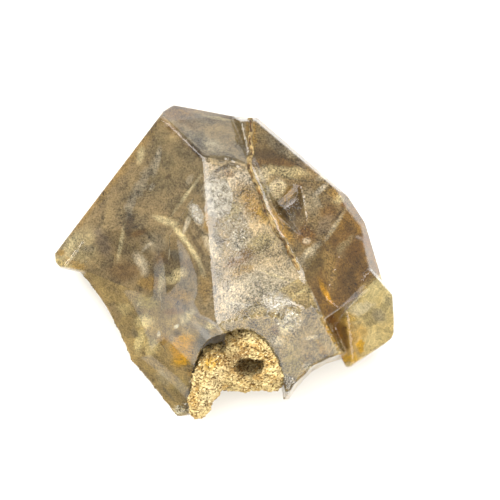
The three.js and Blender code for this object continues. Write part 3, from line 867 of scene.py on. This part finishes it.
@dataclass(frozen=True)
class Sheet:
    """One thin crumpled crack wall inside the quartz.

    x and y are its middle seen from above, depth how far it lies under its face, long and short its half
    lengths, turn the bearing of its long side, dip its tilt about that side in degrees, crumple the height
    and crease the spacing of its folds. With no face it follows the quartz's own top at that depth: its grid
    starts ABOVE the base. The films of a wall that is cut to an outline reach WIDE past it.
    """

    name: str
    finish: CrackFinish | StainedWall
    face: Face | None
    x: float
    y: float
    depth: float
    long: float
    short: float
    turn: float = 0.0
    dip: float = 0.0
    crumple: float = 0.4
    crease: float = 3.0
    soft: float = 0.3
    cell: float = 0.45
    outline: tuple[tuple[float, float], ...] = ()

    THICK = 0.07
    ABOVE = 45.0
    WIDE = 1000.0

    def flat_grid(self) -> Piece:
        """Adds the wall as a flat grid lying at its face, or above the quartz if it has none, and returns it."""
        leave_edit()
        normal = self.face.normal if self.face else Vector((0, 0, 1))
        middle = self.face.under(self.x, self.y, self.depth) if self.face else metres((self.x, self.y, self.ABOVE))
        bearing, dip = math.radians(self.turn), math.radians(self.dip)
        flat = Vector((math.cos(bearing), math.sin(bearing), 0))
        along = (flat - normal * flat.dot(normal)).normalized()
        side = normal.cross(along) * math.cos(dip) + normal * math.sin(dip)
        turned = Euler((0, 0, 0)).to_matrix()
        turned.col[0], turned.col[1], turned.col[2] = along, side, along.cross(side)
        reach = 1 + self.soft
        bpy.ops.mesh.primitive_grid_add(
            x_subdivisions=max(4, int(2 * self.long * reach / self.cell)),
            y_subdivisions=max(4, int(2 * self.short * reach / self.cell)),
            size=2,
            location=middle,
            rotation=turned.to_euler(),
        )
        obj = bpy.context.object
        obj.name = self.name
        obj.data.name = self.name
        obj.scale = Vector((self.long * reach * MM, self.short * reach * MM, 1.0))
        bpy.ops.object.transform_apply(location=True, rotation=True, scale=True)
        return obj

    def drape(self, obj: Piece, solid: Piece) -> None:
        """Lays the grid on the solid and sinks it by the wall's depth.

        Vertices just past the solid's outline keep the height of their neighbours on it, and what lies
        farther out is deleted.

        Args:
            obj: The grid, high over the solid.
            solid: What it is laid on.
        """
        applied(
            obj,
            "SHRINKWRAP",
            target=solid,
            wrap_method="PROJECT",
            use_project_z=True,
            use_negative_direction=True,
            use_positive_direction=False,
        )
        limit = (self.ABOVE - 1) * MM
        vertices, polygons = obj.data.vertices, obj.data.polygons
        hanging: dict[int, list[float]] = {}
        for polygon in polygons:
            laid = [vertices[i].co.z for i in polygon.vertices if vertices[i].co.z < limit]
            for i in polygon.vertices:
                if laid and vertices[i].co.z >= limit:
                    hanging.setdefault(i, []).append(sum(laid) / len(laid))
        for i, near in hanging.items():
            vertices[i].co.z = sum(near) / len(near)
        for polygon in polygons:
            polygon.select = any(vertices[i].co.z >= limit for i in polygon.vertices)
        for vertex in vertices:
            vertex.co.z -= self.depth * MM
        bpy.context.tool_settings.mesh_select_mode = (False, False, True)
        only(obj)
        bpy.ops.object.mode_set(mode="EDIT")
        bpy.ops.mesh.delete(type="FACE")
        leave_edit()

    def cut(self, obj: Piece) -> None:
        """Cuts the wall to its outline, whose points run anticlockwise seen from above."""
        only(obj)
        bpy.ops.object.mode_set(mode="EDIT")
        for start, end in zip(self.outline, self.outline[1:] + self.outline[:1]):
            bpy.ops.mesh.select_all(action="SELECT")
            bpy.ops.mesh.bisect(
                plane_co=metres((*start, 0)),
                plane_no=Vector((end[1] - start[1], start[0] - end[0], 0)).normalized(),
                clear_outer=True,
            )
        leave_edit()

    def build(self, skin: Piece, inside: Piece) -> Piece:
        """Builds the crack wall.

        Args:
            skin: The quartz.
            inside: A solid just inside the quartz's skin, which the wall is cut to.

        Returns:
            The finished piece.
        """
        obj = self.flat_grid()
        if self.face is None:
            self.drape(obj, skin)
        if self.outline:
            self.cut(obj)
        folds = bpy.data.textures.new(self.name, "CLOUDS")
        folds.noise_scale = self.crease * MM
        folds.noise_depth = 3
        applied(obj, "DISPLACE", texture=folds, texture_coords="LOCAL", strength=self.crumple * 2 * MM)
        applied(obj, "SOLIDIFY", thickness=self.THICK * MM, offset=0)
        applied(obj, "BOOLEAN", operation="INTERSECT", object=inside, solver="MANIFOLD")
        place = Oval(self.x, self.y, self.long, self.short, self.turn, self.soft)
        if self.outline:
            place = Oval(self.x, self.y, self.WIDE, self.WIDE)
        obj.data.materials.clear()
        obj.data.materials.append(self.finish.made(self.name, place))
        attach(obj, BODY)
        return obj


@dataclass(frozen=True)
class Glitter:
    """A cloud of small flakes in an oval under the skin: each an air-filled crack that mirrors light its own way."""

    name: str
    place: Oval
    depth: float
    count: int
    size: float = 0.35
    tilt: float = 35.0
    finish: FlakeFinish = FOIL_CRACK

    def bed(self, skin: Piece, inside: Piece) -> Piece:
        """Makes the surface under the skin that the flakes sit on, and returns it."""
        spot = self.place
        size = (spot.x, spot.y, self.depth, spot.long, spot.short, spot.turn)
        return Sheet(self.name, PLATE, None, *size, crumple=0.1, outline=spot.outline()).build(skin, inside)

    def flake(self) -> Piece:
        """Models one flake, a thin uneven pane, and returns it."""
        leave_edit()
        bpy.ops.mesh.primitive_circle_add(vertices=5, radius=self.size * MM, fill_type="TRIFAN")
        obj = bpy.context.object
        obj.name = self.name + "_flake"
        bpy.ops.object.mode_set(mode="EDIT")
        bpy.ops.mesh.select_all(action="SELECT")
        bpy.ops.transform.vertex_random(offset=self.size * 0.25 * MM, seed=len(self.name))
        leave_edit()
        return applied(obj, "SOLIDIFY", thickness=0.04 * MM, offset=0)

    def scatter(self, flake: Piece, area: float) -> Tree:
        """Builds the nodes that set the flakes on the bed's faces.

        Args:
            flake: The one flake.
            area: The bed's area in square metres.

        Returns:
            The geometry node tree.
        """
        tree = bpy.data.node_groups.new(self.name + "_flakes", "GeometryNodeTree")
        tree.interface.new_socket("Geometry", in_out="INPUT", socket_type="NodeSocketGeometry")
        tree.interface.new_socket("Geometry", in_out="OUTPUT", socket_type="NodeSocketGeometry")
        wall = add(tree, "NodeGroupInput").outputs[0]
        spread = {"Mesh": wall, "Density": self.count / area, "Seed": 3}
        points = add(tree, "GeometryNodeDistributePointsOnFaces", spread)
        lean = math.radians(self.tilt)
        wobble = add(
            tree,
            "FunctionNodeRandomValue",
            {0: Vector((-lean, -lean, -math.pi)), 1: Vector((lean, lean, math.pi)), "Seed": 7},
            data_type="FLOAT_VECTOR",
        )
        grown = add(tree, "FunctionNodeRandomValue", {2: 0.35, 3: 1.5, "Seed": 11}, data_type="FLOAT")
        turned = add(
            tree,
            "FunctionNodeRotateRotation",
            {0: points.outputs["Rotation"], 1: wobble.outputs["Value"]},
            rotation_space="LOCAL",
        )
        shape = add(tree, "GeometryNodeObjectInfo", {"Object": flake})
        laid = add(
            tree,
            "GeometryNodeInstanceOnPoints",
            {
                "Points": points.outputs["Points"],
                "Instance": shape.outputs["Geometry"],
                "Rotation": turned.outputs[0],
                "Scale": grown.outputs[1],
            },
        )
        real = add(tree, "GeometryNodeRealizeInstances", {0: laid.outputs[0]})
        add(tree, "NodeGroupOutput", {0: real.outputs[0]})
        return tree

    def build(self, skin: Piece, inside: Piece) -> Piece:
        """Builds the flakes.

        Args:
            skin: The quartz.
            inside: A solid just inside the quartz's skin, which the flakes' bed is cut to.

        Returns:
            The flakes as one piece.
        """
        obj = self.bed(skin, inside)
        flake = self.flake()
        applied(obj, "NODES", node_group=self.scatter(flake, sum(face.area for face in obj.data.polygons)))
        bpy.data.objects.remove(flake)
        obj.data.materials.clear()
        obj.data.materials.append(self.finish.made(self.name))
        return obj


@dataclass(frozen=True)
class SeamClay:
    """Iron-stained clay that settled in the seam: dull, earthy and mottled from tan to rusty brown."""

    name: str
    ground: str
    pale: str
    dark: str

    def made(self) -> bpy.types.Material:
        """Builds the material and returns it."""
        material, tree, place = new_material(self.name)
        where = place.outputs["Object"]
        colour, _ = mottle(tree, where, linear(self.ground), linear(self.dark), 0.7, 0.45, 0.05)
        colour, _ = mottle(tree, where, colour, linear(self.pale), 1.6, 0.4, 0.08)
        coated(tree, Base_Color=colour, Roughness=0.85)
        return material


@dataclass
class SeamCrust:
    """A filling of the open seam between the crystals.

    radius is its half width, sunk how far its axis lies under the faces beside the seam, thin and thick the
    range of its width's share, and pitch the spacing of its lumps, all but the shares in millimetres. Rays from
    SKY above the base look for the bottom of the seam within SHOULDER of its points.
    """

    name: str
    finish: SeamClay
    radius: float
    sunk: float
    thin: float
    thick: float
    pitch: float

    SHOULDER = 0.8
    SKY = 60.0
    SEED = 5

    def spots(self) -> list[tuple[float, float]]:
        """Gives the points along the seam, about a pitch apart."""
        spots = []
        for a, b in zip(SEAM, SEAM[1:]):
            parts = max(1, round(math.dist(a, b) / self.pitch))
            spots += [(a[0] + (b[0] - a[0]) * i / parts, a[1] + (b[1] - a[1]) * i / parts) for i in range(parts)]
        return spots

    def settled(self, skin: Piece, x: float, y: float) -> tuple[float, float, float] | None:
        """Finds the bottom of the seam near x and y.

        Args:
            skin: The quartz.
            x: Where the seam about lies.
            y: Its other coordinate.

        Returns:
            The point over the bottom of the seam, level with the faces beside it, in metres, or nothing where
            the seam runs off the quartz.
        """
        steps = 16
        spread = [x + self.SHOULDER * (2 * i / steps - 1) for i in range(steps + 1)]
        rays = [skin.ray_cast(metres((each, y, self.SKY)), Vector((0, 0, -1))) for each in spread]
        if not all(ray[0] for ray in rays):
            return None
        heights = [ray[1].z for ray in rays]
        rim = [heights[0] + (heights[-1] - heights[0]) * i / steps for i in range(steps + 1)]
        lowest = min(range(steps + 1), key=lambda i: heights[i] - rim[i])
        return spread[lowest] * MM, y * MM, rim[lowest]

    def build(self, skin: Piece) -> Piece:
        """Builds the filling along the seam of the quartz skin and returns it."""
        leave_edit()
        curve = bpy.data.curves.new(self.name, "CURVE")
        curve.dimensions = "3D"
        curve.bevel_depth = self.radius * MM
        curve.bevel_resolution = 2
        curve.use_fill_caps = True
        spots = [spot for spot in (self.settled(skin, x, y) for x, y in self.spots()) if spot]
        line = curve.splines.new("POLY")
        line.points.add(len(spots) - 1)
        chance = random.Random(self.SEED)
        for point, (x, y, level) in zip(line.points, spots):
            point.co = (x, y, level - self.sunk * MM, 1)
            point.radius = chance.uniform(self.thin, self.thick)
        obj = bpy.data.objects.new(self.name, curve)
        bpy.context.scene.collection.objects.link(obj)
        only(obj)
        bpy.ops.object.convert(target="MESH")
        obj = bpy.context.object
        applied(obj, "REMESH", mode="VOXEL", voxel_size=0.1 * MM)
        lumps = bpy.data.textures.new(self.name, "CLOUDS")
        lumps.noise_scale = 0.5 * MM
        applied(obj, "DISPLACE", texture=lumps, texture_coords="LOCAL", strength=0.2 * MM)
        obj.data.materials.append(self.finish.made())
        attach(obj, BODY)
        return obj


@dataclass
class Crystals:
    """The quartz crystals in one piece, and the cracks inside them.

    skin, wall_depth and flank_depth are how far inside the quartz the cracks end and the stained walls lie. Faces
    that look up more than STEEPEST have a wall laid on them from above, a stain counts up to REACH times its
    length past a wall, and a solid is worn down WEAR at a time.
    """

    voxel: float = 0.36
    skin: float = 0.1
    wall_depth: float = 0.42
    flank_depth: float = 0.3

    STEEPEST = 0.4
    REACH = 1.3
    WEAR = 0.2
    PLATE = ((-3.6, 15.9), (-3.2, 9.1), (-1.6, 8.5), (1.2, 9.3), (1.8, 13.1), (0.4, 16.3))

    def eroded(self, solid: Piece, name: str, depth: float) -> Piece:
        """Wears a copy of a solid down in small steps.

        Args:
            solid: The solid.
            name: The copy's name.
            depth: How far its surface moves in, in millimetres.

        Returns:
            The copy.
        """
        obj = copied(solid, name)
        steps = max(1, round(depth / self.WEAR))
        for _ in range(steps):
            applied(obj, "REMESH", mode="VOXEL", voxel_size=2 * self.WEAR * MM)
            applied(obj, "DISPLACE", strength=-depth / steps * MM, mid_level=0.0)
        return obj

    def crusts(self) -> list[SeamCrust]:
        """Lists the fillings of the seam."""
        clay = SeamClay("seam_clay", "#7E6C46", "#9C8658", "#54401E")
        rust = SeamClay("limonite_crust", "#3E2812", "#6E4A1C", "#1E1206")
        return [
            SeamCrust("seam_clay", clay, 0.58, 0.42, 0.85, 1.1, 1.0),
            SeamCrust("seam_crust", rust, 0.17, -0.1, 0.3, 1.5, 0.5),
        ]

    def sheets(self) -> list[Sheet]:
        """Lists the crack walls."""
        return [self.wall(*each) for each in self.walls()] + [
            Sheet("white_plate", PLATE, MIDDLE, -1, 12.4, 0.3, 5, 5, crumple=0.15, crease=0.8, outline=self.PLATE),
            Sheet("white_flakes", WHITE, LEFT, -5.4, 9.3, 0.2, 2.0, 0.9, -60, soft=0.6, crumple=0.12, crease=0.6),
            Sheet("white_cluster", WHITE, MIDDLE, 11.5, -10.0, 0.2, 3.6, 2.2, -40, soft=0.6, crumple=0.12, crease=0.8),
            Sheet("veil_cross_a", VEIL, MIDDLE, 0, 0, 12, 26, 16, 20, 35),
            Sheet("veil_cross_b", VEIL, MIDDLE, -8, 5, 14, 26, 14, 120, -30),
        ]

    def walls(self) -> list[tuple[str, StainedWall, tuple[tuple[float, float], ...]]]:
        """Lists the stained walls under the faces: name, finish and outline."""
        tip, past, crown = (-34.9, 1.0), (-14.4, 31.2), (-4.0, 20.6)
        ridge, seam, seam_top, fork = (-1.4, -12.8), (15.8, -3.0), (5.0, 19.2), (5.6, 29.8)
        waist, heel, corner = (25.4, 11.2), (20.8, -13.4), (31.2, -2.4)
        lower = (ridge, tip, (-36, -3), (-20, -30), (-9, -33), (-1.4, -33))
        upper = (crown, seam_top, fork, (-10, 32), past)
        prong = (ridge, (-1.4, -33), (14, -31), (24.5, -20), seam)
        side = (seam_top, seam, waist, (28.2, 15.5), (12, 35), fork)
        dark = (seam, heel, (33.0, -1.2), (31.6, 5.2), (27.4, 13.5), (20.0, 4.9))
        low = (heel, (23, -25), (39, -20), (39, 0), corner)
        # Each finish's last three numbers are painted shade per face with a warm tint; the upper face is darkened
        # most.
        return [
            ("wall_left", StainedWall("#927F5C", 0.45, 0.8, (0.82, 0.82, 0.8)), (ridge, crown, past, (-36, 2), tip)),
            ("wall_lower_left", StainedWall("#A08C62", 0.4, 0.5, (0.99, 0.98, 0.83)), lower),
            ("wall_middle", StainedWall("#B8A685", 0.9, 0.8, (0.78, 0.79, 0.8)), (crown, ridge, seam, seam_top)),
            ("wall_upper", StainedWall("#A8987A", 0.4, 0.9, (0.45, 0.44, 0.39)), upper),
            ("wall_prong", StainedWall("#AF9D74", 0.8, 0.9, (0.76, 0.73, 0.58)), prong),
            ("wall_side", StainedWall("#8F7A56", 0.85, 0.75, (0.76, 0.75, 0.7)), side),
            ("wall_dark", StainedWall("#846840", 0.55, 0.45, (0.74, 0.67, 0.44)), dark),
            # wall_low's pale ground is partly milky haze and partly painted light: the white floor seen through the
            # thin low crystal.
            ("wall_low", StainedWall("#C9B685", 0.2, 0.3, (0.9, 0.92, 0.84)), low),
        ]

    def flanks(self, solid: Piece) -> Piece:
        """Builds the healed cracks under the flanks and the base.

        Args:
            solid: The quartz worn down to where they lie.

        Returns:
            The finished piece.
        """
        obj = applied(copied(solid, "wall_flanks"), "DECIMATE", ratio=0.4)
        bpy.context.tool_settings.mesh_select_mode = (False, False, True)
        for polygon in obj.data.polygons:
            polygon.select = polygon.normal.z > self.STEEPEST
        only(obj)
        bpy.ops.object.mode_set(mode="EDIT")
        bpy.ops.mesh.delete(type="FACE")
        leave_edit()
        applied(obj, "SOLIDIFY", thickness=Sheet.THICK * MM, offset=0)
        # Paler ground and lighter factor than the top walls, to make up for the flanks getting less light: painted
        # light.
        finish = StainedWall("#B8A47C", 0.5, 0.9, (0.95, 0.94, 0.86), stains=FLANK_STAINS)
        obj.data.materials.append(finish.made(obj.name))
        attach(obj, BODY)
        return obj

    @staticmethod
    def reaches(stain: Stain, outline: tuple[tuple[float, float], ...]) -> bool:
        """Tells whether a stain may lie on the part of the specimen inside an outline."""
        for a, b in zip(outline, outline[1:] + outline[:1]):
            dx, dy = b[0] - a[0], b[1] - a[1]
            out = ((stain.place.x - a[0]) * dy - (stain.place.y - a[1]) * dx) / math.hypot(dx, dy)
            if out > Crystals.REACH * stain.place.long:
                return False
        return True

    def wall(self, name: str, finish: StainedWall, outline: tuple[tuple[float, float], ...]) -> Sheet:
        """Gives one stained wall.

        Args:
            name: Its name.
            finish: Its films.
            outline: The face's outline seen from above, anticlockwise.

        Returns:
            The crack wall.
        """
        finish = replace(finish, stains=tuple(stain for stain in STAINS if self.reaches(stain, outline)))
        low = [min(corner[axis] for corner in outline) for axis in (0, 1)]
        high = [max(corner[axis] for corner in outline) for axis in (0, 1)]
        middle = [(a + b) / 2 for a, b in zip(low, high)]
        half = [(b - a) / 2 for a, b in zip(low, high)]
        flat = {"soft": 0.05, "crumple": 0.05, "crease": 1.5, "cell": 0.35}
        return Sheet(name, finish, None, *middle, self.wall_depth, *half, **flat, outline=outline)

    def glitters(self) -> list[Glitter]:
        """Lists the clouds of flakes."""
        return [
            Glitter("flakes_middle", Oval(2.4, 5.0, 4.0, 2.6, 90), 0.28, 220, 0.12),
            Glitter("flakes_orange", Oval(5.4, 11.0, 4.2, 1.8, -60), 0.28, 160, 0.1, finish=GOLD_FOIL),
            Glitter("flakes_lower", Oval(11.4, -10.0, 4.6, 2.6, -40), 0.28, 300, 0.13),
            Glitter("flakes_side", Oval(15.4, 7.0, 5.0, 2.4, -70), 0.28, 160, 0.1, finish=GOLD_FOIL),
            Glitter("flakes_tip", Oval(-8.0, -29.4, 1.8, 0.9, 10), 0.28, 90, 0.16),
            Glitter("flakes_prong", Oval(12.6, -25.0, 2.2, 1.2, 60), 0.28, 90, 0.14),
        ]

    def build(self, node: Piece) -> list[Piece]:
        """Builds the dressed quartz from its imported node, and the cracks, and returns them."""
        obj = copied(node, "quartz")
        applied(obj, "REMESH", mode="VOXEL", voxel_size=self.voxel * MM)
        smooth_by_angle(obj, 30)
        obj.data.materials.append(ClearQuartz(stains=SKIN_STAINS).made())
        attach(obj, BODY)
        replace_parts(obj, QUARTZ_NODE)
        inside = self.eroded(node, "inside", self.skin)
        core = self.eroded(inside, "core", self.flank_depth)
        made = [obj, self.flanks(core)] + [crust.build(obj) for crust in self.crusts()]
        made += [sheet.build(obj, inside) for sheet in self.sheets()]
        made += [glitter.build(obj, inside) for glitter in self.glitters()]
        for solid in (inside, core):
            bpy.data.objects.remove(solid)
        return made


@dataclass
class Rock:
    """The dolostone in the pocket, with its voxel in millimetres."""

    voxel: float = 0.15

    def build(self, node: Piece) -> list[Piece]:
        """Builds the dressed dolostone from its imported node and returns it."""
        obj = copied(node, "dolostone")
        applied(obj, "REMESH", mode="VOXEL", voxel_size=self.voxel * MM)
        bpy.ops.object.empty_add(rotation=(0.3, 0.2, math.radians(-28)))
        lay = bpy.context.object
        lay.scale = (1.9 * MM, 0.8 * MM, MM)
        bpy.context.view_layer.update()
        for name, kind, size, height, level in (
            ("lumps", "CLOUDS", 1.3, 1.3, 0.2),
            ("pores", "VORONOI", 0.42, 0.75, 0.45),
            ("grain", "CLOUDS", 0.25, 0.4, 0.5),
        ):
            relief = bpy.data.textures.new(name, kind)
            relief.noise_scale = size
            applied(
                obj,
                "DISPLACE",
                texture=relief,
                texture_coords="OBJECT",
                texture_coords_object=lay,
                strength=height * MM,
                mid_level=level,
            )
        bpy.data.objects.remove(lay)
        obj.data.materials.append(PorousDolostone().made())
        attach(obj, BODY)
        return [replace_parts(obj, ROCK_NODE)]


@dataclass
class Studio:
    """The pale floor, the soft lights and the camera straight above."""

    aim: tuple[float, float, float] = (5.16, 2.12, 14.0)
    frame_width: float = 100.0
    distance: float = 3000.0
    sensor: float = 36.0
    floor_half: float = 2000.0
    lamp_reach: float = 1200.0

    def floor(self) -> Piece:
        """Lays the floor and returns it."""
        leave_edit()
        bpy.ops.mesh.primitive_plane_add(size=2 * self.floor_half * MM, location=(0, 0, -0.05 * MM))
        plane = bpy.context.object
        plane.name = "floor"
        material = bpy.data.materials.new("paper_matt_white")
        material.use_nodes = True
        shader = material.node_tree.nodes["Principled BSDF"]
        shader.inputs["Base Color"].default_value = linear("#F2F2F0")
        shader.inputs["Roughness"].default_value = 0.9
        plane.data.materials.append(material)
        return plane

    def lamp(self, name: str, azimuth: float, elevation: float, size: float, watts: float) -> None:
        """Hangs one soft lamp aimed at the object.

        Args:
            name: The lamp's name.
            azimuth: Its bearing from +X in degrees.
            elevation: Its height above the floor in degrees.
            size: Its side in millimetres.
            watts: Its power.
        """
        a, e = math.radians(azimuth), math.radians(elevation)
        way = Vector((math.cos(a) * math.cos(e), math.sin(a) * math.cos(e), math.sin(e)))
        light = bpy.data.lights.new(name, "AREA")
        light.shape = "SQUARE"
        light.size = size * MM
        light.energy = watts
        obj = bpy.data.objects.new(name, light)
        bpy.context.scene.collection.objects.link(obj)
        obj.location = metres(self.aim) + way * self.lamp_reach * MM
        obj.rotation_euler = (-way).to_track_quat("-Z", "Y").to_euler()

    def build(self) -> None:
        """Sets the world, the lamps, the camera and how light is traced."""
        scene = bpy.context.scene
        world = bpy.data.worlds.new("studio_air")
        world.use_nodes = True
        world.node_tree.nodes["Background"].inputs["Color"].default_value = linear("#FFF4E2")
        world.node_tree.nodes["Background"].inputs["Strength"].default_value = 0.6
        scene.world = world
        self.lamp("key_lamp", 110, 60, 1300, 34)
        self.lamp("fill_lamp", -40, 50, 1200, 14)
        camera = bpy.data.cameras.new("camera")
        camera.sensor_width = self.sensor
        camera.lens = self.sensor * self.distance / self.frame_width
        camera.clip_start, camera.clip_end = 0.1, 100
        eye = bpy.data.objects.new("camera", camera)
        scene.collection.objects.link(eye)
        eye.location = metres(self.aim) + Vector((0, 0, self.distance * MM))
        scene.camera = eye
        scene.view_settings.view_transform = "Standard"
        scene.cycles.max_bounces = 16
        scene.cycles.transmission_bounces = 16
        scene.cycles.transparent_max_bounces = 24


def main() -> None:
    """Builds the specimen, its floor, lights and camera."""
    logging.basicConfig(level=logging.INFO, format="%(message)s")
    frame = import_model()
    nodes = frame["nodes"]
    Studio().build()
    Studio().floor()
    for piece in Crystals().build(nodes[QUARTZ_NODE]) + Rock().build(nodes[ROCK_NODE]):
        LOG.info("%s: %d triangles", piece.name, sum(len(f.vertices) - 2 for f in piece.data.polygons))


if __name__ == "__main__":
    main()
